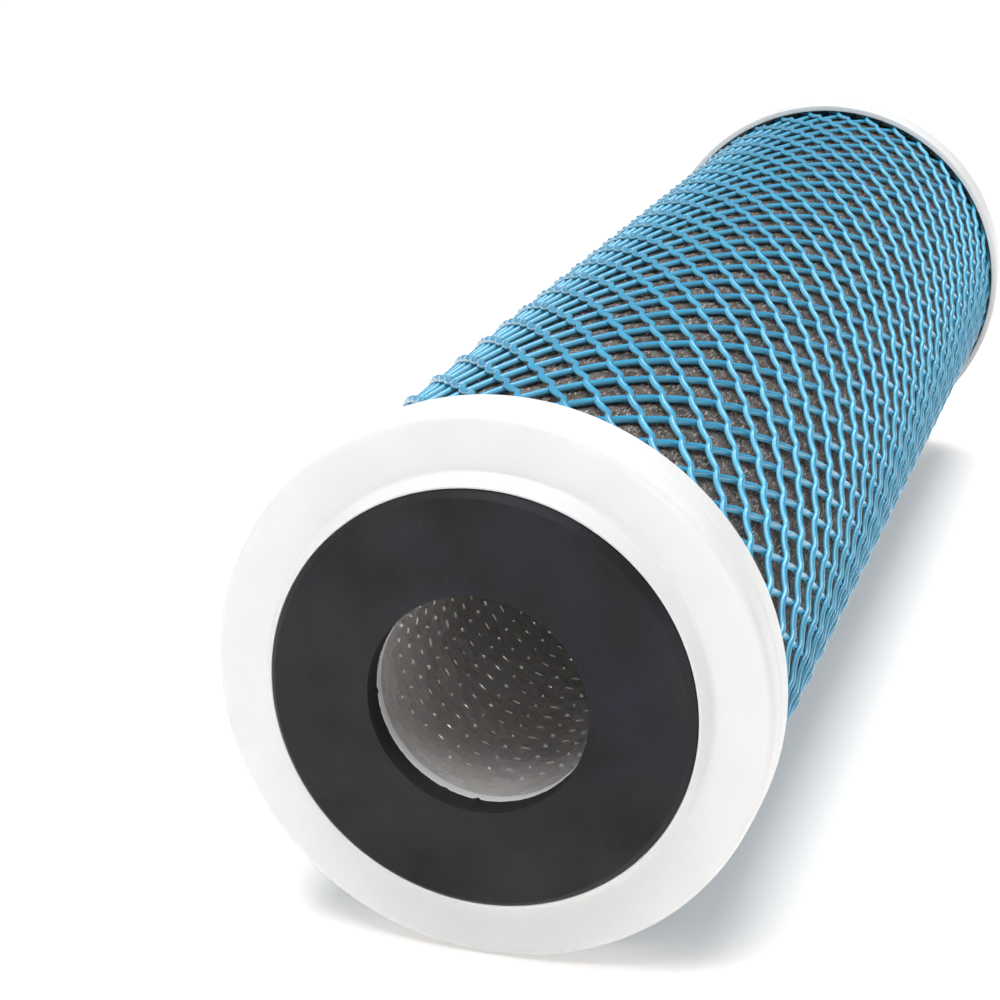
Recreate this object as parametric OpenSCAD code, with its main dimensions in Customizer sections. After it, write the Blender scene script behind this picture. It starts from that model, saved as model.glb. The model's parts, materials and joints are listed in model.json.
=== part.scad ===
// Drop-in carbon block cartridge for an inline water filter.
// Double open ended: a moulded cap and a flat gasket close each end, and water passes from the
// outside, through the net, the fleece and the carbon block, into the bore and out of either end.
// The cartridge lies on its side along Y. The origin is on its axis, half way along.

/* [Cartridge] */
// Overall length, over both gaskets
overall_len = 250; // [120:1:510]
// Outside diameter of the end caps
cap_od = 69.8; // [66:0.1:90]
// Diameter of the bore, through the gaskets, the caps and the core tube
bore_d = 27.4; // [26:0.1:32]

/* [End caps] */
// Wall thickness of the cap plate round the bore
plate_t = 1.5; // [1:0.1:3]
// Thickness of the cap between the gasket's bed and the adhesive
bed_t = 2; // [1.6:0.1:3]
// Height of the lip that stands round the gasket, above the gasket's bed
lip_h = 2.2; // [0.5:0.1:3]
// Width of the lip's flat top
lip_top_w = 0.3; // [0.2:0.1:1]
// Width of the lip's sloping outside
lip_slope_w = 1; // [0.5:0.1:2]
// How far the flat flange lies behind the gasket's bed
flange_drop = 0.3; // [0.1:0.1:0.6]
// Depth of the cap, from its gasket bed to the edge of its skirt
cap_depth = 8.6; // [7:0.1:16]
// Wall thickness of the cap's skirt
skirt_t = 1.1; // [0.8:0.05:1.5]
// Radius of the rounded front edge
edge_r = 1.3; // [0.5:0.1:1.6]
// Height of the shallow step round the skirt, behind the rounded front edge
band_step = 0.1; // [0.05:0.05:0.4]
// Distance of that step from the gasket bed
band_y = 4.6; // [3:0.1:6]
// Number of rings moulded inside the cap that key into the adhesive
key_rings = 2; // [1:1:3]

/* [Gaskets] */
// Thickness of the flat rubber gasket
gasket_t = 3.4; // [2.5:0.1:5]
// Outside diameter of the gasket
gasket_od = 52.8; // [48:0.1:60]
// Width of the slanted front edge of the gasket
gasket_slant_w = 0.8; // [0.2:0.1:1.5]
// Depth of the slanted front edge of the gasket
gasket_slant_t = 1; // [0.2:0.1:1.5]

/* [Layers] */
// Thickness of the adhesive bed between a cap and the end of the block
glue_t = 1.5; // [0.8:0.1:3]
// Wall thickness of the core tube
core_t = 1.2; // [0.8:0.1:2]
// Thickness of the soft wrap between the core and the carbon
inner_wrap_t = 0.4; // [0.2:0.1:1]
// Outside diameter of the extruded carbon block
block_od = 58.4; // [50:0.1:62]
// Thickness of the fine spun wrap on the carbon block
fine_wrap_t = 0.5; // [0.2:0.1:1]
// Thickness of the felt prefilter
fleece_t = 2.5; // [1:0.1:2.5]
// Thickness of the outer net over a crossing of two strands
net_t = 1.5; // [0.8:0.1:1.5]

/* [Hidden] */
$fn = 128;

half = overall_len / 2;
bed_y = half - gasket_t;
cap_r = cap_od / 2;
bore_r = bore_d / 2;
skirt_in_r = cap_r - skirt_t;
gasket_r = gasket_od / 2;
lip_in_r = gasket_r + 0.1;
lip_foot_r = lip_in_r + lip_top_w + lip_slope_w;
core_r = bore_r + core_t;
block_r = block_od / 2;
fine_wrap_r = block_r + fine_wrap_t;
fleece_r = fine_wrap_r + fleece_t;
net_r = fleece_r + net_t;
core_half = bed_y - plate_t;
block_half = bed_y - bed_t - glue_t;
// Height, width and spacing of the rings inside the cap that key into the adhesive
key_h = 0.6;
key_w = 0.8;
key_pitch = (skirt_in_r - core_r) / (key_rings + 1);

// Everything round the axis is drawn lying down, with the axis of rotation along Y.
module turn() {
    rotate([-90, 0, 0])
        rotate_extrude()
            children();
}

// A ring from one radius to another, between two places on the axis.
module ring(r_in, r_out, y0, y1) {
    turn()
        translate([r_in, y0])
            square([r_out - r_in, y1 - y0]);
}

// Puts a front-end piece, drawn with its gasket bed at y = 0, at the front or the rear end.
module at_front() {
    translate([0, -bed_y, 0])
        children();
}

module at_rear() {
    mirror([0, 1, 0])
        at_front()
            children();
}

// The rings that stand on the inside of the cap, as half of their section.
module key_ring_section(extra) {
    for (i = [1:key_rings])
        translate([core_r + i * key_pitch - key_w / 2, bed_t - extra])
            square([key_w, key_h + extra]);
}

// One half of the cap's section: gasket bed, lip, flange, rounded corner and skirt.
module cap_section() {
    difference() {
        union() {
            polygon([
                [bore_r, 0],
                [lip_in_r, 0],
                [lip_in_r, -lip_h],
                [lip_in_r + lip_top_w, -lip_h],
                [lip_foot_r, flange_drop],
                [cap_r - band_step - edge_r, flange_drop],
                [cap_r - band_step - edge_r, bed_t],
                [bore_r, bed_t]
            ]);
            intersection() {
                translate([cap_r - band_step - edge_r, flange_drop + edge_r])
                    circle(r = edge_r);
                translate([cap_r - band_step - edge_r, flange_drop])
                    square([edge_r, edge_r]);
            }
            translate([cap_r - band_step - edge_r, flange_drop + edge_r])
                square([edge_r, band_y - flange_drop - edge_r]);
            translate([skirt_in_r - 0.5, band_y])
                square([skirt_t + 0.5, cap_depth - band_y]);
        }
        // trough that holds the adhesive and the end of the block
        translate([core_r, bed_t])
            square([skirt_in_r - core_r, cap_depth]);
        // step that locates the end of the core tube
        translate([bore_r - 0.1, plate_t])
            square([core_t + 0.1, cap_depth]);
    }
    key_ring_section(0.1);
}

module end_cap() {
    color("white")
        turn()
            cap_section();
}

module gasket() {
    color([0.13, 0.13, 0.14])
        turn()
            polygon([
                [bore_r, -gasket_t],
                [gasket_r - gasket_slant_w, -gasket_t],
                [gasket_r, gasket_slant_t - gasket_t],
                [gasket_r, 0],
                [bore_r, 0]
            ]);
}

module adhesive() {
    color([0.86, 0.84, 0.76])
        turn()
            difference() {
                translate([core_r, bed_t])
                    square([skirt_in_r - core_r, glue_t]);
                key_ring_section(0.1);
            }
}

module front_gasket() {
    at_front()
        gasket();
}

module front_cap() {
    at_front()
        end_cap();
}

module front_adhesive() {
    at_front()
        adhesive();
}

// Stiff plastic tube that lines the bore and keeps the block round.
module core_tube() {
    color([0.82, 0.84, 0.85])
        ring(bore_r, core_r, -core_half, core_half);
}

// Spun-bonded wrap that keeps carbon fines out of the filtered water.
module inner_wrap() {
    color([0.93, 0.93, 0.9])
        ring(core_r, core_r + inner_wrap_t, -block_half, block_half);
}

// Sintered tube of activated carbon, which does the filtering.
module carbon_block() {
    color([0.1, 0.1, 0.1])
        ring(core_r + inner_wrap_t, block_r, -block_half, block_half);
}

// Thin spun-bonded wrap glued round the block.
module fine_wrap() {
    color([0.9, 0.9, 0.88])
        ring(block_r, fine_wrap_r, -block_half, block_half);
}

// Grey needle-felt that catches sediment before it reaches the carbon.
module prefilter_fleece() {
    color([0.27, 0.26, 0.25])
        ring(fine_wrap_r, fleece_r, -block_half, block_half);
}

// Sleeve of extruded diamond net, drawn here as the plain sleeve that its strands fill.
module outer_net() {
    color([0.13, 0.55, 0.78])
        ring(fleece_r, net_r, -block_half, block_half);
}

module rear_adhesive() {
    at_rear()
        adhesive();
}

module rear_cap() {
    at_rear()
        end_cap();
}

module rear_gasket() {
    at_rear()
        gasket();
}

front_gasket();
front_cap();
front_adhesive();
core_tube();
inner_wrap();
carbon_block();
fine_wrap();
prefilter_fleece();
outer_net();
rear_adhesive();
rear_cap();
rear_gasket();
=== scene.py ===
import json
import math
import random

import bpy
import numpy as np
from mathutils import Matrix, Vector


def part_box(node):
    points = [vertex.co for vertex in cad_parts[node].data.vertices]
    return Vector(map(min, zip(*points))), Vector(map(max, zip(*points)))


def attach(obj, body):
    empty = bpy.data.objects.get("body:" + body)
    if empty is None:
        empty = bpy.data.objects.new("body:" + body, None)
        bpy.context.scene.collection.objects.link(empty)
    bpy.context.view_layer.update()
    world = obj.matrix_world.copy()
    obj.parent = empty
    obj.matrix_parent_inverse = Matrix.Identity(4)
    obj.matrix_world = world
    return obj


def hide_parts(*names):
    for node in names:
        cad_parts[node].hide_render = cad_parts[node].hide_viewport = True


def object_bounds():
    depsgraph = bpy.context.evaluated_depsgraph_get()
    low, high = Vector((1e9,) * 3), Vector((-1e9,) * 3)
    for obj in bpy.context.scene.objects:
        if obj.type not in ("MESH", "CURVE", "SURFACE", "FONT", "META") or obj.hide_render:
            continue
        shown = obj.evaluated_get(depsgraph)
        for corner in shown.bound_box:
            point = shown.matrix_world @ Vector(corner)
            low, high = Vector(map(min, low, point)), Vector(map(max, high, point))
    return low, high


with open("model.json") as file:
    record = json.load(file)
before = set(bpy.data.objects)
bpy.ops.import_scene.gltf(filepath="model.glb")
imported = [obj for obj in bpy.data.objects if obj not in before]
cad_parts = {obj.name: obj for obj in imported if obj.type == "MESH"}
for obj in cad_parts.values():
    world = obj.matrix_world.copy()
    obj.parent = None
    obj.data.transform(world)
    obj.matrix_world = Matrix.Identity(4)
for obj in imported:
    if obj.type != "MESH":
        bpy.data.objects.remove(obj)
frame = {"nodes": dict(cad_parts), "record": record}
cad_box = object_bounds()


# ---- Camera ------------------------------------------------------------------------------------
# The cartridge lies on its side and is seen from in front, a little above and to its right, with
# a short telephoto lens from about 0.4 m, so that the near cap is large and the net runs away.
MM = 0.001
EYE = Vector((81.0, -379.6, 113.0)) * MM
GAZE = Vector((-0.2788, 0.9086, -0.3109)).normalized()
SENSOR_WIDTH = 36.0
FOCAL_LENGTH = 88.2

gaze_right = GAZE.cross(Vector((0, 0, 1))).normalized()
gaze_up = gaze_right.cross(GAZE)
turn_to_gaze = Matrix((gaze_right, gaze_up, -GAZE)).transposed()
lens = bpy.data.cameras.new("camera")
lens.sensor_width = SENSOR_WIDTH
lens.lens = FOCAL_LENGTH
lens.clip_start = 0.01
camera = bpy.data.objects.new("camera", lens)
camera.matrix_world = Matrix.Translation(EYE) @ turn_to_gaze.to_4x4()
bpy.context.scene.collection.objects.link(camera)
bpy.context.scene.camera = camera


# ---- Floor and studio light --------------------------------------------------------------------
# A white light table that glows a little from below, a large soft box overhead in front, one
# overhead behind, a small lamp that looks straight into the bore, and a dim white tent all round.
FLOOR_REACH = 6.0
FLOOR_WHITE = (0.895, 0.87, 0.85, 1)
FLOOR_GLOW = 0.30
TENT_STRENGTH = 0.30
SOFT_BOXES = (
    # name, place, size across and down, watts
    ("front_box", (-0.08, -0.42, 1.10), (0.8, 0.8), 14.0),
    ("rear_box", (-0.02, 0.45, 0.95), (0.7, 0.7), 9.0),
    ("bore_lamp", (0.12, -1.30, 0.10), (0.12, 0.12), 1.8),
)


def new_object(name, vertices, faces, smooth=True):
    mesh = bpy.data.meshes.new(name)
    mesh.from_pydata([tuple(v) for v in vertices], [], faces)
    mesh.polygons.foreach_set("use_smooth", [smooth] * len(mesh.polygons))
    mesh.update()
    made = bpy.data.objects.new(name, mesh)
    bpy.context.scene.collection.objects.link(made)
    return made


def node(tree, kind, sockets=None, **settings):
    """Adds one node; a socket's value is a number, a colour or another node's output."""
    made = tree.nodes.new(kind)
    for key, value in settings.items():
        setattr(made, key, value)
    for key, value in (sockets or {}).items():
        if isinstance(value, bpy.types.NodeSocket):
            tree.links.new(value, made.inputs[key])
        else:
            made.inputs[key].default_value = value
    return made


def new_material(name):
    """An empty material: its node tree and the surface socket that its shader goes into."""
    material = bpy.data.materials.new(name)
    material.use_nodes = True
    tree = material.node_tree
    tree.nodes.clear()
    output = tree.nodes.new("ShaderNodeOutputMaterial")
    return material, tree, output.inputs["Surface"]


floor_z = cad_box[0][2]
floor_corners = [(-1, -1), (1, -1), (1, 1), (-1, 1)]
floor = new_object(
    "floor",
    [(x * FLOOR_REACH, y * FLOOR_REACH, floor_z) for x, y in floor_corners],
    [(0, 1, 2, 3)],
    smooth=False,
)
floor_finish, tree, surface = new_material("table_top")
table_top = node(
    tree,
    "ShaderNodeBsdfPrincipled",
    {
        "Base Color": FLOOR_WHITE,
        "Roughness": 0.55,
        "Specular IOR Level": 0.25,
        "Emission Color": (1, 1, 1, 1),
        "Emission Strength": FLOOR_GLOW,
    },
)
tree.links.new(table_top.outputs["BSDF"], surface)
floor.data.materials.append(floor_finish)

for name, place, (across, down), watts in SOFT_BOXES:
    lamp = bpy.data.lights.new(name, "AREA")
    lamp.shape = "RECTANGLE"
    lamp.size = across
    lamp.size_y = down
    lamp.energy = watts
    holder = bpy.data.objects.new(name, lamp)
    holder.location = place
    holder.rotation_euler = (-Vector(place)).to_track_quat("-Z", "Y").to_euler()
    bpy.context.scene.collection.objects.link(holder)

tent = bpy.data.worlds.new("white_tent")
tent.use_nodes = True
tent.node_tree.nodes["Background"].inputs["Color"].default_value = (1, 1, 1, 1)
tent.node_tree.nodes["Background"].inputs["Strength"].default_value = TENT_STRENGTH
bpy.context.scene.world = tent
bpy.context.scene.view_settings.view_transform = "Standard"


# ---- Core tube ---------------------------------------------------------------------------------
# The liner of the bore: a tube of milky polypropylene, moulded in small staggered pads like
# brickwork, with small beads and longer bars between them, so that water can run along it.
CORE_COLUMNS = 36
CORE_PITCH = 3.46 * MM
CORE_QUILT = 0.10 * MM
CORE_FACETS = 144
CORE_ROWS_PER_PITCH = 3
CORE_CLEAR = 0.08 * MM
BEAD_SIZES = (
    # half length along the bore, half width round it, height: a bead, then a bar
    (0.15 * MM, 0.40 * MM, 0.26 * MM),
    (0.10 * MM, 0.80 * MM, 0.14 * MM),
)
BEAD_HIGH = 0.26 * MM
BEAD_SIDES = 6
BEAD_RINGS = 2
BEAD_SMALLEST = 0.35


def ring_of(node_name):
    """The outer radius and the two ends along the axis of a CAD piece, in metres."""
    low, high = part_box(node_name)
    return high.x, low.y, high.y


def around(radius, angle, along):
    """A point at a radius and an angle round the cartridge's axis; zero is +X, a quarter +Z."""
    return (radius * math.cos(angle), along, radius * math.sin(angle))


def grid_faces(rows, columns, first=0, closed=True, flip=False):
    """Quads of a grid, row by row; closed joins the last column of each row to the first."""
    faces = []
    for row in range(rows - 1):
        for column in range(columns if closed else columns - 1):
            beside = (column + 1) % columns
            quad = (
                first + row * columns + column,
                first + row * columns + beside,
                first + (row + 1) * columns + beside,
                first + (row + 1) * columns + column,
            )
            faces.append(quad[::-1] if flip else quad)
    return faces


core_outer, core_front, core_rear = ring_of("core_tube")
bore_radius = frame["record"]["mounts"][0]["dims"]["r_mm"] * MM
core_film = bore_radius + BEAD_HIGH


def quilt(angle, along):
    """The swelling of the staggered pads, from -1 on a pad to 1 between pads."""
    across = angle * CORE_COLUMNS / (4 * math.pi)
    length = along / CORE_PITCH
    return math.cos(2 * math.pi * across) * math.cos(2 * math.pi * length)


core_points = []
core_rows = round((core_rear - core_front) / CORE_PITCH * CORE_ROWS_PER_PITCH)
for row in range(core_rows + 1):
    along = core_front + (core_rear - core_front) * row / core_rows
    for column in range(CORE_FACETS):
        angle = 2 * math.pi * column / CORE_FACETS
        radius = core_film + CORE_QUILT * (0.5 + 0.5 * quilt(angle, along))
        core_points.append(around(radius, angle, along))
for along in (core_rear, core_front):
    for column in range(CORE_FACETS):
        angle = 2 * math.pi * column / CORE_FACETS
        core_points.append(around(core_outer - CORE_CLEAR, angle, along))
core_faces = grid_faces(core_rows + 3, CORE_FACETS)
last_ring = (core_rows + 2) * CORE_FACETS
for column in range(CORE_FACETS):
    beside = (column + 1) % CORE_FACETS
    core_faces.append((last_ring + column, last_ring + beside, beside, column))
draw = random.Random(3)
for column in range(CORE_COLUMNS):
    centre_angle = 2 * math.pi * column / CORE_COLUMNS
    bead_long, bead_wide, bead_high = BEAD_SIZES[column % 2]
    along = (math.floor(core_front / CORE_PITCH) + 2 + column % 4 / 4) * CORE_PITCH
    while along < core_rear - CORE_PITCH:
        first = len(core_points)
        size = draw.uniform(BEAD_SMALLEST, 1.0)
        for level in range(BEAD_RINGS + 1):
            rise = math.pi / 2 * level / (BEAD_RINGS + 0.6)
            for side in range(BEAD_SIDES):
                turn = 2 * math.pi * side / BEAD_SIDES
                spread = math.cos(rise) * size
                angle = centre_angle + bead_wide * spread * math.sin(turn) / core_film
                place = along + bead_long * spread * math.cos(turn)
                radius = core_film + CORE_QUILT - (bead_high + CORE_QUILT) * math.sin(rise)
                core_points.append(around(radius, angle, place))
        core_faces += grid_faces(BEAD_RINGS + 1, BEAD_SIDES, first=first, flip=True)
        top = first + BEAD_RINGS * BEAD_SIDES
        core_faces.append(tuple(top + side for side in reversed(range(BEAD_SIDES))))
        core_faces.append(tuple(first + side for side in range(BEAD_SIDES)))
        along += CORE_PITCH
core_liner = new_object("core_liner", core_points, core_faces)
core_liner.data.set_sharp_from_angle(angle=math.radians(60))


def moulded_skin():
    """Shared by every plastic piece: cloudiness, flow streaks along the axis and orange peel."""
    group = bpy.data.node_groups.new("moulded_skin", "ShaderNodeTree")
    for name in ("Grain", "Streak"):
        group.interface.new_socket(name, in_out="INPUT", socket_type="NodeSocketFloat")
    for name in ("Cloud", "Fine", "Height"):
        group.interface.new_socket(name, in_out="OUTPUT", socket_type="NodeSocketFloat")
    given = group.nodes.new("NodeGroupInput")
    result = group.nodes.new("NodeGroupOutput")
    place = node(group, "ShaderNodeTexCoord").outputs["Object"]
    cloud = node(group, "ShaderNodeTexNoise", {"Vector": place, "Scale": 140.0, "Detail": 4.0})
    stretched = node(
        group,
        "ShaderNodeMapping",
        {"Vector": place, "Scale": (1.0, 0.06, 1.0)},
    )
    streak = node(
        group,
        "ShaderNodeTexNoise",
        {"Vector": stretched.outputs["Vector"], "Scale": 2600.0, "Detail": 2.0},
    )
    peel = node(
        group,
        "ShaderNodeTexNoise",
        {"Vector": place, "Scale": given.outputs["Grain"], "Detail": 3.0},
    )
    streaked = node(
        group,
        "ShaderNodeMath",
        {0: streak.outputs["Fac"], 1: given.outputs["Streak"]},
        operation="MULTIPLY",
    )
    height = node(
        group,
        "ShaderNodeMath",
        {0: peel.outputs["Fac"], 1: streaked.outputs["Value"]},
        operation="ADD",
    )
    group.links.new(cloud.outputs["Fac"], result.inputs["Cloud"])
    group.links.new(peel.outputs["Fac"], result.inputs["Fine"])
    group.links.new(height.outputs["Value"], result.inputs["Height"])
    return group


SKIN = moulded_skin()


def placed(tree, group, **values):
    """Puts a shared node group in a material, with this material's own values."""
    made = tree.nodes.new("ShaderNodeGroup")
    made.node_tree = group
    for key, value in values.items():
        made.inputs[key].default_value = value
    return made


def between(tree, factor, low, high):
    """A number that runs from low to high as the factor runs over the middle of its range."""
    return node(
        tree,
        "ShaderNodeMapRange",
        {"Value": factor, "From Min": 0.3, "From Max": 0.7, "To Min": low, "To Max": high},
    ).outputs["Result"]


def blend_of(tree, factor, first, second):
    """A colour between two colours, either of which may be another node's output."""
    mixed = node(
        tree,
        "ShaderNodeMix",
        {"Factor": factor, 6: first, 7: second},
        data_type="RGBA",
    )
    return mixed.outputs[2]


def bumped(tree, height, distance):
    """A normal from a height between 0 and 1 that is worth a distance in metres."""
    return node(
        tree,
        "ShaderNodeBump",
        {"Height": height, "Distance": distance, "Strength": 1.0},
    ).outputs["Normal"]


CORE_DARK = (0.46, 0.435, 0.42, 1)
CORE_MILKY = (0.62, 0.615, 0.61, 1)
core_finish, tree, surface = new_material("milky_core_plastic")
skin = placed(tree, SKIN, Grain=1500.0, Streak=0.4)
place = node(tree, "ShaderNodeTexCoord").outputs["Object"]
parts = node(tree, "ShaderNodeSeparateXYZ", {"Vector": place})
turn = node(
    tree,
    "ShaderNodeMath",
    {0: parts.outputs["Z"], 1: parts.outputs["X"]},
    operation="ARCTAN2",
)
column = node(
    tree,
    "ShaderNodeMath",
    {0: turn.outputs["Value"], 1: CORE_COLUMNS / (2 * math.pi), 2: 0.5},
    operation="MULTIPLY_ADD",
)
length = node(
    tree,
    "ShaderNodeMath",
    {0: parts.outputs["Y"], 1: CORE_PITCH},
    operation="DIVIDE",
)
wall = node(
    tree,
    "ShaderNodeCombineXYZ",
    {"X": length.outputs["Value"], "Y": column.outputs["Value"]},
)
pads = node(
    tree,
    "ShaderNodeTexBrick",
    {
        "Vector": wall.outputs["Vector"],
        "Scale": 1.0,
        "Brick Width": 1.0,
        "Row Height": 1.0,
        "Mortar Size": 0.18,
        "Mortar Smooth": 1.0,
    },
    offset=0.5,
)
relief = node(
    tree,
    "ShaderNodeMath",
    {0: skin.outputs["Height"], 1: 0.2, 2: pads.outputs["Fac"]},
    operation="MULTIPLY_ADD",
)
core_shader = node(
    tree,
    "ShaderNodeBsdfPrincipled",
    {
        "Base Color": blend_of(tree, skin.outputs["Cloud"], CORE_DARK, CORE_MILKY),
        "Roughness": between(tree, skin.outputs["Cloud"], 0.20, 0.34),
        "Coat Weight": 0.8,
        "Coat Roughness": 0.12,
        "Normal": bumped(tree, relief.outputs["Value"], 0.025 * MM),
    },
)
tree.links.new(core_shader.outputs["BSDF"], surface)
core_liner.data.materials.append(core_finish)
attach(core_liner, "root")
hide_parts("core_tube")


# ---- Inner wrap and fine wrap ------------------------------------------------------------------
# Two thin sheets of white spun-bonded cloth, each rolled tightly round twice: one round the core,
# to keep carbon dust out of the water, and one round the outside of the block.
WRAP_TURNS = 2
WRAP_STEPS = 160
WRAP_ROWS = 12
WRAP_SLACK = 0.02 * MM
SPUN_DARK = (0.60, 0.60, 0.57, 1)
SPUN_LIGHT = (0.74, 0.74, 0.71, 1)
SPUN_FLECK = (0.86, 0.86, 0.84, 1)


def rolled_sheet(name, inner, outer, front, rear, start):
    """A closed thin sheet wound round the axis, turn on turn, and the length it was cut to."""
    thickness = (outer - inner) / (WRAP_TURNS + 1)
    steps = WRAP_TURNS * WRAP_STEPS
    points = []
    for side in (0, 1):
        for row in range(WRAP_ROWS + 1):
            along = front + (rear - front) * row / WRAP_ROWS
            for step in range(steps + 1):
                turns = step / WRAP_STEPS
                angle = start + 2 * math.pi * turns
                radius = inner + thickness * turns + side * (thickness - WRAP_SLACK)
                points.append(around(radius + WRAP_SLACK / 2, angle, along))
    across = steps + 1
    other = (WRAP_ROWS + 1) * across
    faces = grid_faces(WRAP_ROWS + 1, across, closed=False)
    faces += grid_faces(WRAP_ROWS + 1, across, first=other, closed=False, flip=True)
    for step in range(steps):
        for row, turned in ((0, False), (WRAP_ROWS, True)):
            a = row * across + step
            quad = (a, a + other, a + other + 1, a + 1)
            faces.append(quad[::-1] if turned else quad)
    for row in range(WRAP_ROWS):
        for edge, turned in ((0, True), (steps, False)):
            a = row * across + edge
            quad = (a, a + other, a + other + across, a + across)
            faces.append(quad[::-1] if turned else quad)
    sheet = new_object(name, points, faces)
    sheet.data.set_sharp_from_angle(angle=math.radians(40))
    return sheet, 2 * math.pi * WRAP_TURNS * (inner + outer) / 2


def matted_fibres():
    """Shared by the felt and the spun cloth: crossing fibres in three directions, and clumps."""
    group = bpy.data.node_groups.new("matted_fibres", "ShaderNodeTree")
    group.interface.new_socket("Scale", in_out="INPUT", socket_type="NodeSocketFloat")
    for name in ("Fibre", "Speck", "Clump", "Height"):
        group.interface.new_socket(name, in_out="OUTPUT", socket_type="NodeSocketFloat")
    given = group.nodes.new("NodeGroupInput")
    result = group.nodes.new("NodeGroupOutput")
    place = node(group, "ShaderNodeTexCoord").outputs["Object"]
    layers = []
    for turn in ((0.3, 0.5, 0.1), (1.2, -0.4, 0.8), (-0.7, 1.1, 1.9)):
        laid = node(
            group,
            "ShaderNodeMapping",
            {"Vector": place, "Rotation": turn, "Scale": (1.0, 0.14, 1.0)},
        )
        hairs = node(
            group,
            "ShaderNodeTexNoise",
            {
                "Vector": laid.outputs["Vector"],
                "Scale": given.outputs["Scale"],
                "Detail": 2.0,
                "Distortion": 0.8,
            },
        )
        layers.append(hairs.outputs["Fac"])
    top = node(group, "ShaderNodeMath", {0: layers[0], 1: layers[1]}, operation="MAXIMUM")
    both = top.outputs["Value"]
    top = node(group, "ShaderNodeMath", {0: both, 1: layers[2]}, operation="MAXIMUM")
    speck = node(
        group,
        "ShaderNodeTexNoise",
        {"Vector": place, "Scale": given.outputs["Scale"], "Detail": 3.0, "Roughness": 0.7},
    )
    clump = node(group, "ShaderNodeTexNoise", {"Vector": place, "Scale": 420.0, "Detail": 4.0})
    height = node(
        group,
        "ShaderNodeMath",
        {0: top.outputs["Value"], 1: speck.outputs["Fac"]},
        operation="ADD",
    )
    group.links.new(top.outputs["Value"], result.inputs["Fibre"])
    group.links.new(speck.outputs["Fac"], result.inputs["Speck"])
    group.links.new(clump.outputs["Fac"], result.inputs["Clump"])
    group.links.new(height.outputs["Value"], result.inputs["Height"])
    return group


FIBRES = matted_fibres()


def cloth_material(name, scale, dark, light, fleck, depth):
    """Matted cloth: dark and light clumps, with bright fibres lying on top."""
    material, tree, surface = new_material(name)
    lay = placed(tree, FIBRES, Scale=scale)
    shade = node(
        tree,
        "ShaderNodeMath",
        {0: lay.outputs["Clump"], 1: lay.outputs["Speck"]},
        operation="MULTIPLY",
    )
    mass = node(
        tree,
        "ShaderNodeMapRange",
        {"Value": shade.outputs["Value"], "From Min": 0.15, "From Max": 0.36},
    )
    body = blend_of(tree, mass.outputs["Result"], dark, light)
    lit = node(
        tree,
        "ShaderNodeMapRange",
        {"Value": lay.outputs["Fibre"], "From Min": 0.62, "From Max": 0.72},
    )
    shader = node(
        tree,
        "ShaderNodeBsdfPrincipled",
        {
            "Base Color": blend_of(tree, lit.outputs["Result"], body, fleck),
            "Roughness": between(tree, lay.outputs["Clump"], 0.85, 0.98),
            "Specular IOR Level": 0.12,
            "Sheen Weight": 0.10,
            "Normal": bumped(tree, lay.outputs["Height"], depth),
        },
    )
    tree.links.new(shader.outputs["BSDF"], surface)
    return material


spun_cloth = cloth_material(
    "spun_bonded_cloth",
    scale=2400.0,
    dark=SPUN_DARK,
    light=SPUN_LIGHT,
    fleck=SPUN_FLECK,
    depth=0.05 * MM,
)
wrap_outer, wrap_front, wrap_rear = ring_of("inner_wrap")
block_outer = ring_of("carbon_block")[0]
fine_outer = ring_of("fine_wrap")[0]
WRAPS = (
    # piece, CAD node, what it is rolled on, inner and outer radius, angle where it starts
    ("inner_wrap_cloth", "inner_wrap", "core_tube", core_outer, wrap_outer, 0.9),
    ("fine_wrap_cloth", "fine_wrap", "carbon_block", block_outer, fine_outer, 4.1),
)
for name, cad_node, under, inner, outer, start in WRAPS:
    wrap, cut_length = rolled_sheet(name, inner, outer, wrap_front, wrap_rear, start)
    wrap.data.materials.append(spun_cloth)
    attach(wrap, "root")
    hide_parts(cad_node)


# ---- Carbon block ------------------------------------------------------------------------------
# The filter itself: powdered coconut carbon and a plastic binder, pressed and sintered into a
# thick black tube. Its turned surface is open-pored, with dull grains and a few glints.
CARBON_BLACK = (0.010, 0.010, 0.011, 1)
CARBON_GREY = (0.050, 0.050, 0.052, 1)
carbon_finish, tree, surface = new_material("sintered_carbon")
place = node(tree, "ShaderNodeTexCoord").outputs["Object"]
grains = node(tree, "ShaderNodeTexVoronoi", {"Vector": place, "Scale": 1700.0})
clumps = node(tree, "ShaderNodeTexNoise", {"Vector": place, "Scale": 260.0, "Detail": 6.0})
carbon_shader = node(
    tree,
    "ShaderNodeBsdfPrincipled",
    {
        "Base Color": blend_of(tree, clumps.outputs["Fac"], CARBON_BLACK, CARBON_GREY),
        "Roughness": between(tree, clumps.outputs["Fac"], 0.95, 0.6),
        "Normal": bumped(tree, grains.outputs["Distance"], 0.12 * MM),
    },
)
tree.links.new(carbon_shader.outputs["BSDF"], surface)
frame["nodes"]["carbon_block"].data.materials.clear()
frame["nodes"]["carbon_block"].data.materials.append(carbon_finish)


# ---- Outer net: how it is laid -----------------------------------------------------------------
# The net is extruded through two turning dies: thirty-six strands lean one way and thirty-six the
# other, welded where they cross. The felt under it needs to know where the strands are.
NET_STRANDS = 36
NET_CROSSING_STEP = 5.0 * MM
NET_MIDDLE_CROSSING = -1.35 * MM
NET_START_ANGLE = math.radians(5.0)
NET_TWIST = math.radians(3.3)
NET_TWIST_START = -110 * MM
NET_TWIST_LENGTH = 75 * MM
net_outer, net_front, net_rear = ring_of("outer_net")


def crossing_phase(along):
    """Counts crossings along the axis: a whole number where the two layers meet."""
    return (along - NET_MIDDLE_CROSSING) / NET_CROSSING_STEP


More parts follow.
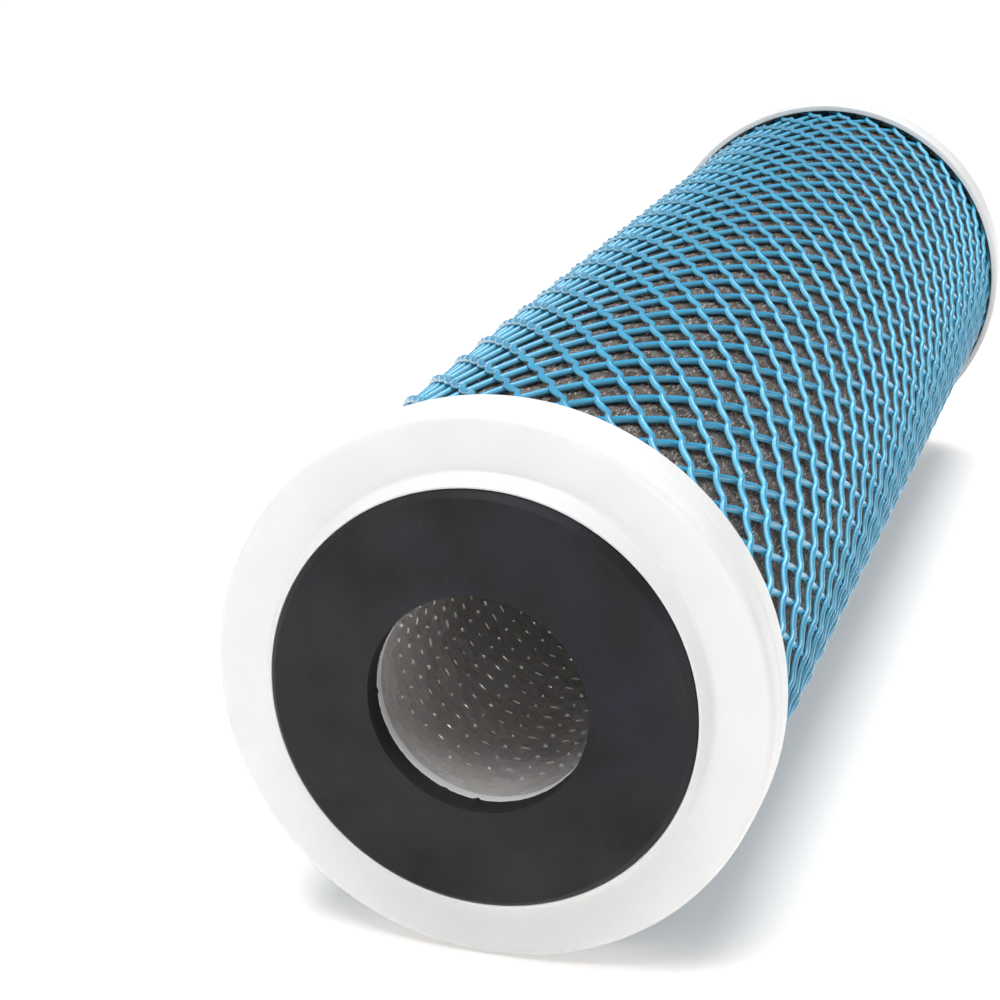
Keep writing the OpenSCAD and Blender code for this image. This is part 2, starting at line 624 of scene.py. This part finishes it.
def net_twist(along):
    """How far the sleeve is twisted where it was pulled on at the front end."""
    share = min(1, max(0, (along - NET_TWIST_START) / NET_TWIST_LENGTH))
    return NET_TWIST * (1 / 3 - share * share * (3 - 2 * share))


# ---- Prefilter felt ----------------------------------------------------------------------------
# A strip of dark grey needle felt, cut to the block's length, wrapped round once and heat-welded
# edge to edge. It puffs up a little in each window of the net, and loose fibres stand out of it.
FELT_COLUMNS = 300
FELT_ROWS = 326
FELT_PUFF = 0.30 * MM
FELT_LUMP = 0.16 * MM
LUMP_WAVES = 9
FELT_SEAM_ANGLE = math.radians(205)
FELT_SEAM_GAP = math.radians(0.35)
FELT_SEAM_WIDTH = math.radians(3.0)
FELT_SEAM_DEPTH = 0.7 * MM
FELT_DARK = (0.014, 0.011, 0.009, 1)
FELT_LIGHT = (0.135, 0.115, 0.103, 1)
FELT_FLECK = (0.46, 0.42, 0.39, 1)
felt_outer, felt_front, felt_rear = ring_of("prefilter_fleece")


def window(angle, along):
    """1 in the middle of a window of the net and 0 under its strands."""
    phase = crossing_phase(along)
    lay = (angle - NET_START_ANGLE - net_twist(along)) * NET_STRANDS / (2 * math.pi)
    over = math.sin(math.pi * (lay - phase / 2)) ** 2
    under = math.sin(math.pi * (lay + phase / 2)) ** 2
    return over * under


def lumps(points, seed, size):
    """Smooth unevenness from -1 to 1: a few sine waves in seeded random directions."""
    draw = random.Random(seed)
    total = np.zeros(len(points))
    for _ in range(LUMP_WAVES):
        way = np.array([draw.uniform(-1, 1) for _ in range(3)])
        way *= 2 * math.pi / (size * draw.uniform(0.6, 1.6) * np.linalg.norm(way))
        total += np.sin(points @ way + draw.uniform(0, 6.3))
    return total / 4


felt_inner = fine_outer
felt_span = 2 * math.pi - FELT_SEAM_GAP
felt_places = []
for row in range(FELT_ROWS):
    for column in range(FELT_COLUMNS):
        turn = FELT_SEAM_GAP / 2 + felt_span * column / (FELT_COLUMNS - 1)
        along = felt_front + (felt_rear - felt_front) * row / (FELT_ROWS - 1)
        felt_places.append((FELT_SEAM_ANGLE + turn, along, min(turn, 2 * math.pi - turn)))
felt_base = np.array([around(felt_outer, angle, along) for angle, along, _ in felt_places])
felt_lumps = lumps(felt_base, 11, 2.6 * MM) + 0.7 * lumps(felt_base, 12, 1.3 * MM)
felt_points = []
for (angle, along, off_seam), lump in zip(felt_places, felt_lumps):
    seam = math.exp(-((off_seam / FELT_SEAM_WIDTH) ** 2))
    radius = felt_outer - FELT_LUMP + FELT_PUFF * window(angle, along) + FELT_LUMP * lump * 0.5
    felt_points.append(around(radius - FELT_SEAM_DEPTH * seam, angle, along))
felt_back = len(felt_points)
for along in (felt_front, felt_rear):
    for column in range(FELT_COLUMNS):
        turn = FELT_SEAM_GAP / 2 + felt_span * column / (FELT_COLUMNS - 1)
        felt_points.append(around(felt_inner, FELT_SEAM_ANGLE + turn, along))
felt_faces = grid_faces(FELT_ROWS, FELT_COLUMNS, closed=False, flip=True)
felt_faces += grid_faces(2, FELT_COLUMNS, first=felt_back, closed=False)
last_row = (FELT_ROWS - 1) * FELT_COLUMNS
for column in range(FELT_COLUMNS - 1):
    below = felt_back + column
    above = below + FELT_COLUMNS
    felt_faces.append((column, column + 1, below + 1, below))
    felt_faces.append((last_row + column + 1, last_row + column, above, above + 1))
for column, turned in ((0, True), (FELT_COLUMNS - 1, False)):
    edge = [row * FELT_COLUMNS + column for row in range(FELT_ROWS)]
    edge += [felt_back + FELT_COLUMNS + column, felt_back + column]
    felt_faces.append(tuple(reversed(edge)) if turned else tuple(edge))
felt = new_object("prefilter_felt", felt_points, felt_faces)
felt.data.set_sharp_from_angle(angle=math.radians(60))
felt.data.materials.append(
    cloth_material(
        "needle_felt",
        scale=3300.0,
        dark=FELT_DARK,
        light=FELT_LIGHT,
        fleck=FELT_FLECK,
        depth=0.22 * MM,
    )
)
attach(felt, "root")
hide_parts("prefilter_fleece")


def strands_mesh(name, paths, sides):
    """One mesh of many thin tubes, each a list of (point, outward, half width, half height).

    Its one float attribute is 1 along a tube's two side edges, where the net's material paints a
    light edge highlight.
    """
    points = []
    faces = []
    edges = []
    for path in paths:
        first = len(points)
        for index, (point, outward, wide, high) in enumerate(path):
            ahead = path[min(index + 1, len(path) - 1)][0]
            behind = path[max(index - 1, 0)][0]
            forward = (ahead - behind).normalized()
            sideways = forward.cross(outward).normalized()
            upward = sideways.cross(forward)
            for side in range(sides):
                turn = 2 * math.pi * side / sides
                points.append(
                    point + sideways * (wide * math.cos(turn)) + upward * (high * math.sin(turn))
                )
                # Weight of the painted edge highlight: 1 at the tube's two side edges, 0 at its
                # top and bottom.
                edges.append(abs(math.cos(turn)) ** 4)
        faces += grid_faces(len(path), sides, first=first, flip=True)
        faces.append(tuple(first + side for side in range(sides)))
        last = first + (len(path) - 1) * sides
        faces.append(tuple(last + side for side in reversed(range(sides))))
    made = new_object(name, points, faces)
    thin = made.data.attributes.new("edge_highlight", "FLOAT", "POINT")
    thin.data.foreach_set("value", edges)
    return made


FELT_HAIRS = 13500
HAIR_RADIUS = 0.030 * MM
HAIR_TAPER = 0.45
HAIR_LENGTHS = (0.5, 1.8)
HAIR_LIFTS = (0.02, 0.22)
HAIR_CURL = 1.6
HAIR_ROOT = 0.10 * MM
HAIR_END_MARGIN = 4 * MM
draw = random.Random(5)
hairs = []
for _ in range(FELT_HAIRS):
    angle = draw.uniform(0, 2 * math.pi)
    along = draw.uniform(felt_front + HAIR_END_MARGIN, felt_rear - HAIR_END_MARGIN)
    heading = draw.uniform(0, 2 * math.pi)
    length = draw.uniform(*HAIR_LENGTHS) * MM
    curl = draw.uniform(-HAIR_CURL, HAIR_CURL)
    lift = draw.uniform(*HAIR_LIFTS) * MM
    hair = []
    for step in (0, 1, 2):
        reach = length * (step / 2 - 0.5)
        bend = heading + curl * step / 2
        spin = angle + reach * math.cos(bend) / felt_outer
        height = felt_outer - HAIR_ROOT + lift * (1 - abs(step - 1)) * 2
        height += FELT_PUFF * window(spin, along) * 0.8
        point = Vector(around(height, spin, along + reach * math.sin(bend)))
        outward = Vector((point.x, 0, point.z)).normalized()
        thin = HAIR_RADIUS * (1.0 if step == 1 else HAIR_TAPER)
        hair.append((point, outward, thin, thin))
    hairs.append(hair)
fuzz = strands_mesh("felt_fuzz", hairs, 3)
HAIR_TONES = (
    (0.0, (0.03, 0.026, 0.023, 1)),
    (0.45, (0.17, 0.15, 0.135, 1)),
    (1.0, (0.58, 0.54, 0.50, 1)),
)
hair_finish, tree, surface = new_material("loose_fibres")
island = node(tree, "ShaderNodeNewGeometry").outputs["Random Per Island"]
tones = node(tree, "ShaderNodeValToRGB", {"Fac": island})
tones.color_ramp.elements.new(HAIR_TONES[1][0])
for element, (stop, tone) in zip(tones.color_ramp.elements, HAIR_TONES):
    element.position = stop
    element.color = tone
place = node(tree, "ShaderNodeTexCoord").outputs["Object"]
wear = node(tree, "ShaderNodeTexNoise", {"Vector": place, "Scale": 3000.0})
hair_shader = node(
    tree,
    "ShaderNodeBsdfPrincipled",
    {
        "Base Color": tones.outputs["Color"],
        "Roughness": between(tree, wear.outputs["Fac"], 0.45, 0.7),
        "Normal": bumped(tree, wear.outputs["Fac"], 0.01 * MM),
    },
)
tree.links.new(hair_shader.outputs["BSDF"], surface)
fuzz.data.materials.append(hair_finish)
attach(fuzz, "root")


# ---- Outer net ---------------------------------------------------------------------------------
# A sleeve of blue polyethylene net. The under strands run straight; each over strand humps and
# jogs sideways over every weld. Both ends are trapped in the adhesive under the caps.
NET_STEPS = 7
OVER_JOG = 0.34 * MM
OVER_WIDTH = (0.40 * MM, 0.50 * MM)
OVER_HEIGHT = (0.41 * MM, 0.44 * MM)
OVER_HUMP = 0.26 * MM
UNDER_JOG = 0.08 * MM
UNDER_WIDTH = 0.53 * MM
UNDER_HEIGHT = 0.46 * MM
UNDER_SINK = 0.03 * MM
NET_DRIFT = 0.12 * MM
NET_UNEVEN = 0.07


def slow_drift(seed):
    """A strand's own slow wander along its length, from -1 to 1."""
    draw = random.Random(seed)
    waves = [(draw.uniform(0.02, 0.09), draw.uniform(0, 6.3)) for _ in range(3)]
    return lambda along: sum(math.sin(along / MM * rate + shift) for rate, shift in waves) / 3


def jog(phase):
    """A rounded zigzag: steep between the welds and flat across them."""
    turn = 2 * math.pi * phase
    return math.sin(turn) - 0.10 * math.sin(3 * turn)


def net_strand(index, lean):
    """The path of one strand: lean is 1 for the over strands and -1 for the under strands."""
    over = lean > 0
    drift = slow_drift(index + (100 if over else 500))
    bulk = slow_drift(index + (900 if over else 1300))
    path = []
    steps = round((net_rear - net_front) / NET_CROSSING_STEP * NET_STEPS)
    for step in range(steps + 1):
        along = net_front + (net_rear - net_front) * step / steps
        phase = crossing_phase(along)
        weld = 0.5 + 0.5 * math.cos(2 * math.pi * phase)
        sway = OVER_JOG * -jog(phase) if over else UNDER_JOG * jog(phase)
        angle = NET_START_ANGLE + net_twist(along)
        angle += 2 * math.pi * (index + lean * phase / 2) / NET_STRANDS
        angle += lean * (sway + NET_DRIFT * drift(along)) / net_outer
        if over:
            wide = OVER_WIDTH[1] + (OVER_WIDTH[0] - OVER_WIDTH[1]) * weld
            high = OVER_HEIGHT[1] + (OVER_HEIGHT[0] - OVER_HEIGHT[1]) * weld
            radius = net_outer - high - OVER_HUMP * (1 - weld)
        else:
            wide = UNDER_WIDTH
            high = UNDER_HEIGHT
            radius = felt_outer + high - UNDER_SINK
        wide *= 1 + NET_UNEVEN * bulk(along)
        point = Vector(around(radius, angle, along))
        path.append((point, Vector((point.x, 0, point.z)).normalized(), wide, high))
    return path


NET_BLUE = (0.002, 0.20, 0.39, 1)
NET_LIGHT = (0.006, 0.28, 0.49, 1)
# The next colour is a painted highlight, laid along every strand's two side edges as if light
# caught them.
NET_EDGE_HIGHLIGHT = (0.17, 0.51, 0.68, 1)
net_finish, tree, surface = new_material("blue_net_plastic")
skin = placed(tree, SKIN, Grain=900.0, Streak=0.3)
# Where the painted edge highlight goes on each strand.
edge_highlight = node(tree, "ShaderNodeAttribute", attribute_name="edge_highlight")
net_body = blend_of(tree, between(tree, skin.outputs["Cloud"], 0, 1), NET_BLUE, NET_LIGHT)
net_shader = node(
    tree,
    "ShaderNodeBsdfPrincipled",
    {
        "Base Color": blend_of(tree, edge_highlight.outputs["Fac"], net_body, NET_EDGE_HIGHLIGHT),
        "Roughness": between(tree, skin.outputs["Fine"], 0.16, 0.28),
        "Specular IOR Level": 0.45,
        "Coat Weight": 0.25,
        "Coat Roughness": 0.08,
        "Subsurface Weight": 0.10,
        "Subsurface Radius": (0.05, 0.6, 1.0),
        "Subsurface Scale": 0.0006,
        "Normal": bumped(tree, skin.outputs["Height"], 0.008 * MM),
    },
)
tree.links.new(net_shader.outputs["BSDF"], surface)
for name, lean in (("net_over_strands", 1), ("net_under_strands", -1)):
    layer = strands_mesh(name, [net_strand(index, lean) for index in range(NET_STRANDS)], 8)
    layer.data.materials.append(net_finish)
    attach(layer, "root")
    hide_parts("outer_net")


# ---- Adhesive beds -----------------------------------------------------------------------------
# Hot polyethylene adhesive is poured into each cap before the block is pressed in. It sets as a
# waxy, slightly yellow ring that seals the end of the block and holds the wraps and the net.
GLUE_TONES = ((0.66, 0.60, 0.44, 1), (0.78, 0.74, 0.62, 1))
glue_finish, tree, surface = new_material("set_adhesive")
skin = placed(tree, SKIN, Grain=500.0, Streak=0.1)
glue_shader = node(
    tree,
    "ShaderNodeBsdfPrincipled",
    {
        "Base Color": blend_of(tree, between(tree, skin.outputs["Cloud"], 0, 1), *GLUE_TONES),
        "Roughness": between(tree, skin.outputs["Fine"], 0.35, 0.5),
        "Normal": bumped(tree, skin.outputs["Height"], 0.1 * MM),
    },
)
tree.links.new(glue_shader.outputs["BSDF"], surface)
for name in ("front_adhesive", "rear_adhesive"):
    frame["nodes"][name].data.materials.clear()
    frame["nodes"][name].data.materials.append(glue_finish)


# ---- End caps ----------------------------------------------------------------------------------
# Injection moulded from white polypropylene: a thin plate with a lip round the gasket, a flat
# flange, and a skirt over the end of the block. The two mould halves leave a fine step round it.
LATHE_STEPS = 288
CORNER_STEPS = 5
CAP_EDGE_SOFT = 0.18 * MM
cap_outer, cap_front, cap_rear = ring_of("front_cap")
gasket_outer, gasket_front, gasket_rear = ring_of("front_gasket")
CAP_LIP_IN = gasket_outer + 0.1 * MM
CAP_LIP_HIGH = gasket_rear - cap_front
CAP_LIP_TOP = 0.3 * MM
CAP_LIP_SLOPE = 1.0 * MM
CAP_BED = 2.0 * MM
CAP_CORE_STEP = 1.5 * MM
CAP_FLANGE = 0.3 * MM
CAP_CORNER = 1.3 * MM
CAP_BAND_STEP = 0.1 * MM
CAP_BAND = 4.6 * MM
CAP_BAND_SOFT = 0.3 * MM
CAP_SKIRT = 1.1 * MM
CAP_DEPTH = cap_rear - gasket_rear


def rounded(corners):
    """Replaces each (radius, depth, rounding) corner of a closed outline by a short arc."""
    outline = []
    count = len(corners)
    for index, (across, deep, rounding) in enumerate(corners):
        here = Vector((across, deep))
        before = Vector(corners[index - 1][:2]) - here
        after = Vector(corners[(index + 1) % count][:2]) - here
        cut = min(rounding, before.length * 0.45, after.length * 0.45)
        start = here + before.normalized() * cut
        end = here + after.normalized() * cut
        for step in range(CORNER_STEPS + 1):
            share = step / CORNER_STEPS
            outline.append(
                start * (1 - share) ** 2 + here * 2 * share * (1 - share) + end * share**2
            )
    return outline


def turned(name, outline, seat, facing, wobble=None):
    """Sweeps a closed outline of (radius, depth from the seat) round the axis, as on a lathe.

    The outline starts at the bore and runs outwards along the front, so that faces look outwards.
    """
    points = []
    for number, corner in enumerate(outline):
        for step in range(LATHE_STEPS):
            angle = 2 * math.pi * step / LATHE_STEPS
            radius, deep = corner
            if wobble:
                radius, deep = wobble(number, angle, radius, deep)
            points.append(around(radius, angle, seat + facing * deep))
    count = len(outline)
    faces = grid_faces(count, LATHE_STEPS, flip=facing > 0)
    last = (count - 1) * LATHE_STEPS
    for step in range(LATHE_STEPS):
        beside = (step + 1) % LATHE_STEPS
        quad = (last + step, last + beside, beside, step)
        faces.append(quad[::-1] if facing > 0 else quad)
    made = new_object(name, points, faces)
    made.data.set_sharp_from_angle(angle=math.radians(50))
    return made


cap_in_front = cap_outer - CAP_BAND_STEP
cap_corners = [
    (bore_radius, 0, 0.15 * MM),
    (CAP_LIP_IN, 0, 0.05 * MM),
    (CAP_LIP_IN, -CAP_LIP_HIGH, 0.06 * MM),
    (CAP_LIP_IN + CAP_LIP_TOP, -CAP_LIP_HIGH, 0.15 * MM),
    (CAP_LIP_IN + CAP_LIP_TOP + CAP_LIP_SLOPE, CAP_FLANGE, 0.5 * MM),
    (cap_in_front, CAP_FLANGE, CAP_CORNER),
    (cap_in_front, CAP_BAND - CAP_BAND_SOFT, CAP_BAND_SOFT),
    (cap_outer, CAP_BAND + CAP_BAND_SOFT, CAP_BAND_SOFT),
    (cap_outer, CAP_DEPTH, CAP_EDGE_SOFT),
    (cap_outer - CAP_SKIRT, CAP_DEPTH, CAP_EDGE_SOFT),
    (cap_outer - CAP_SKIRT, CAP_BED, 0.4 * MM),
    (core_outer, CAP_BED, 0.1 * MM),
    (core_outer, CAP_CORE_STEP, 0.05 * MM),
    (bore_radius, CAP_CORE_STEP, 0.05 * MM),
]
CAP_WHITE = (0.69, 0.695, 0.695, 1)
CAP_SHADE = (0.66, 0.665, 0.67, 1)
cap_finish, tree, surface = new_material("white_cap_plastic")
skin = placed(tree, SKIN, Grain=1100.0, Streak=0.15)
cloudy = between(tree, skin.outputs["Cloud"], 0, 1)
cap_shader = node(
    tree,
    "ShaderNodeBsdfPrincipled",
    {
        "Base Color": blend_of(tree, cloudy, CAP_SHADE, CAP_WHITE),
        "Roughness": between(tree, skin.outputs["Cloud"], 0.30, 0.40),
        "Subsurface Weight": 0.2,
        "Subsurface Radius": (1.0, 0.9, 0.8),
        "Subsurface Scale": 0.0012,
        "Normal": bumped(tree, skin.outputs["Height"], 0.012 * MM),
    },
)
tree.links.new(cap_shader.outputs["BSDF"], surface)
CAPS = (
    ("front_cap_moulding", "front_cap", gasket_rear, 1),
    ("rear_cap_moulding", "rear_cap", -gasket_rear, -1),
)
for name, cad_node, seat, facing in CAPS:
    cap = turned(name, rounded(cap_corners), seat, facing)
    cap.data.materials.append(cap_finish)
    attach(cap, "root")
    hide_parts(cad_node)


# ---- Gaskets -----------------------------------------------------------------------------------
# A flat ring punched out of black nitrile rubber sheet and stuck to the cap inside its lip. The
# punch leaves a slanted front edge, a slightly dished wall and a few torn tags round the hole.
GASKET_ROWS = 7
GASKET_FRINGE = 0.04 * MM
GASKET_DISH = 0.10 * MM
GASKET_SLANT = 1.0 * MM
GASKET_SLANT_WIDTH = 0.8 * MM
gasket_thick = gasket_rear - gasket_front
gasket_corners = [
    (bore_radius, -gasket_thick, 0.14 * MM),
    (gasket_outer - GASKET_SLANT_WIDTH, -gasket_thick, 0.20 * MM),
    (gasket_outer, GASKET_SLANT - gasket_thick, 0.30 * MM),
    (gasket_outer, 0, 0.10 * MM),
    (bore_radius, 0, 0.06 * MM),
]
GASKET_TAGS = 9
FRINGE_WAVES = (23, 41, 67, 97)
draw = random.Random(21)
tags = []
for _ in range(GASKET_TAGS):
    size = draw.uniform(0.10, 0.30) * MM
    tags.append((draw.uniform(0, 2 * math.pi), size, draw.uniform(0.008, 0.02)))


def punched(number, angle, radius, deep):
    """The punch's small faults: a dished wall, a ragged back edge and torn tags at the hole."""
    share = -deep / gasket_thick
    middle = 4 * share * (1 - share)
    if radius < bore_radius + 0.3 * MM:
        ragged = sum(math.sin(angle * rate + rate) for rate in FRINGE_WAVES) / len(FRINGE_WAVES)
        radius += GASKET_DISH * middle + GASKET_FRINGE * ragged * (1 - share) ** 2
        for place, size, reach in tags:
            off = (angle - place + math.pi) % (2 * math.pi) - math.pi
            radius -= size * math.exp(-((off / reach) ** 2)) * (1 - share)
    return radius, deep


RUBBER_BLACK = (0.014, 0.014, 0.014, 1)
RUBBER_WARM = (0.033, 0.033, 0.024, 1)
RUBBER_COOL = (0.024, 0.023, 0.036, 1)
RUBBER_DUST = (0.12, 0.12, 0.12, 1)
rubber_finish, tree, surface = new_material("nitrile_rubber")
place = node(tree, "ShaderNodeTexCoord").outputs["Object"]
bloom = node(tree, "ShaderNodeTexNoise", {"Vector": place, "Scale": 90.0, "Detail": 4.0})
hue = node(tree, "ShaderNodeTexNoise", {"Vector": place, "Scale": 30.0, "Detail": 2.0})
grain = node(tree, "ShaderNodeTexNoise", {"Vector": place, "Scale": 2600.0, "Detail": 3.0})
speck = node(tree, "ShaderNodeTexVoronoi", {"Vector": place, "Scale": 520.0, "Randomness": 1.0})
dusty = node(
    tree,
    "ShaderNodeMapRange",
    {
        "Value": speck.outputs["Distance"],
        "From Min": 0.0,
        "From Max": 0.09,
        "To Min": 0.15,
        "To Max": 0.0,
    },
)
tint = blend_of(tree, between(tree, hue.outputs["Fac"], 0, 1), RUBBER_WARM, RUBBER_COOL)
clean = blend_of(tree, between(tree, bloom.outputs["Fac"], 0, 1), tint, RUBBER_BLACK)
rubber_shader = node(
    tree,
    "ShaderNodeBsdfPrincipled",
    {
        "Base Color": blend_of(tree, dusty.outputs["Result"], clean, RUBBER_DUST),
        "Roughness": between(tree, bloom.outputs["Fac"], 0.66, 0.46),
        "Specular IOR Level": 0.10,
        "Normal": bumped(tree, grain.outputs["Fac"], 0.012 * MM),
    },
)
tree.links.new(rubber_shader.outputs["BSDF"], surface)
GASKETS = (
    ("front_gasket_ring", "front_gasket", gasket_rear, 1),
    ("rear_gasket_ring", "rear_gasket", -gasket_rear, -1),
)


def with_rows(outline, longest):
    """Adds points so that no straight stretch of an outline is longer than this."""
    full = []
    for index, here in enumerate(outline):
        after = outline[(index + 1) % len(outline)]
        pieces = max(1, math.ceil((after - here).length / longest))
        full += [here.lerp(after, piece / pieces) for piece in range(pieces)]
    return full


gasket_outline = with_rows(rounded(gasket_corners), gasket_thick / GASKET_ROWS * 2)
for name, cad_node, seat, facing in GASKETS:
    ring = turned(name, gasket_outline, seat, facing, punched)
    ring.data.materials.append(rubber_finish)
    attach(ring, "root")
    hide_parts(cad_node)


# ---- Finish ------------------------------------------------------------------------------------
# Brings the view layer up to date.
bpy.context.view_layer.update()
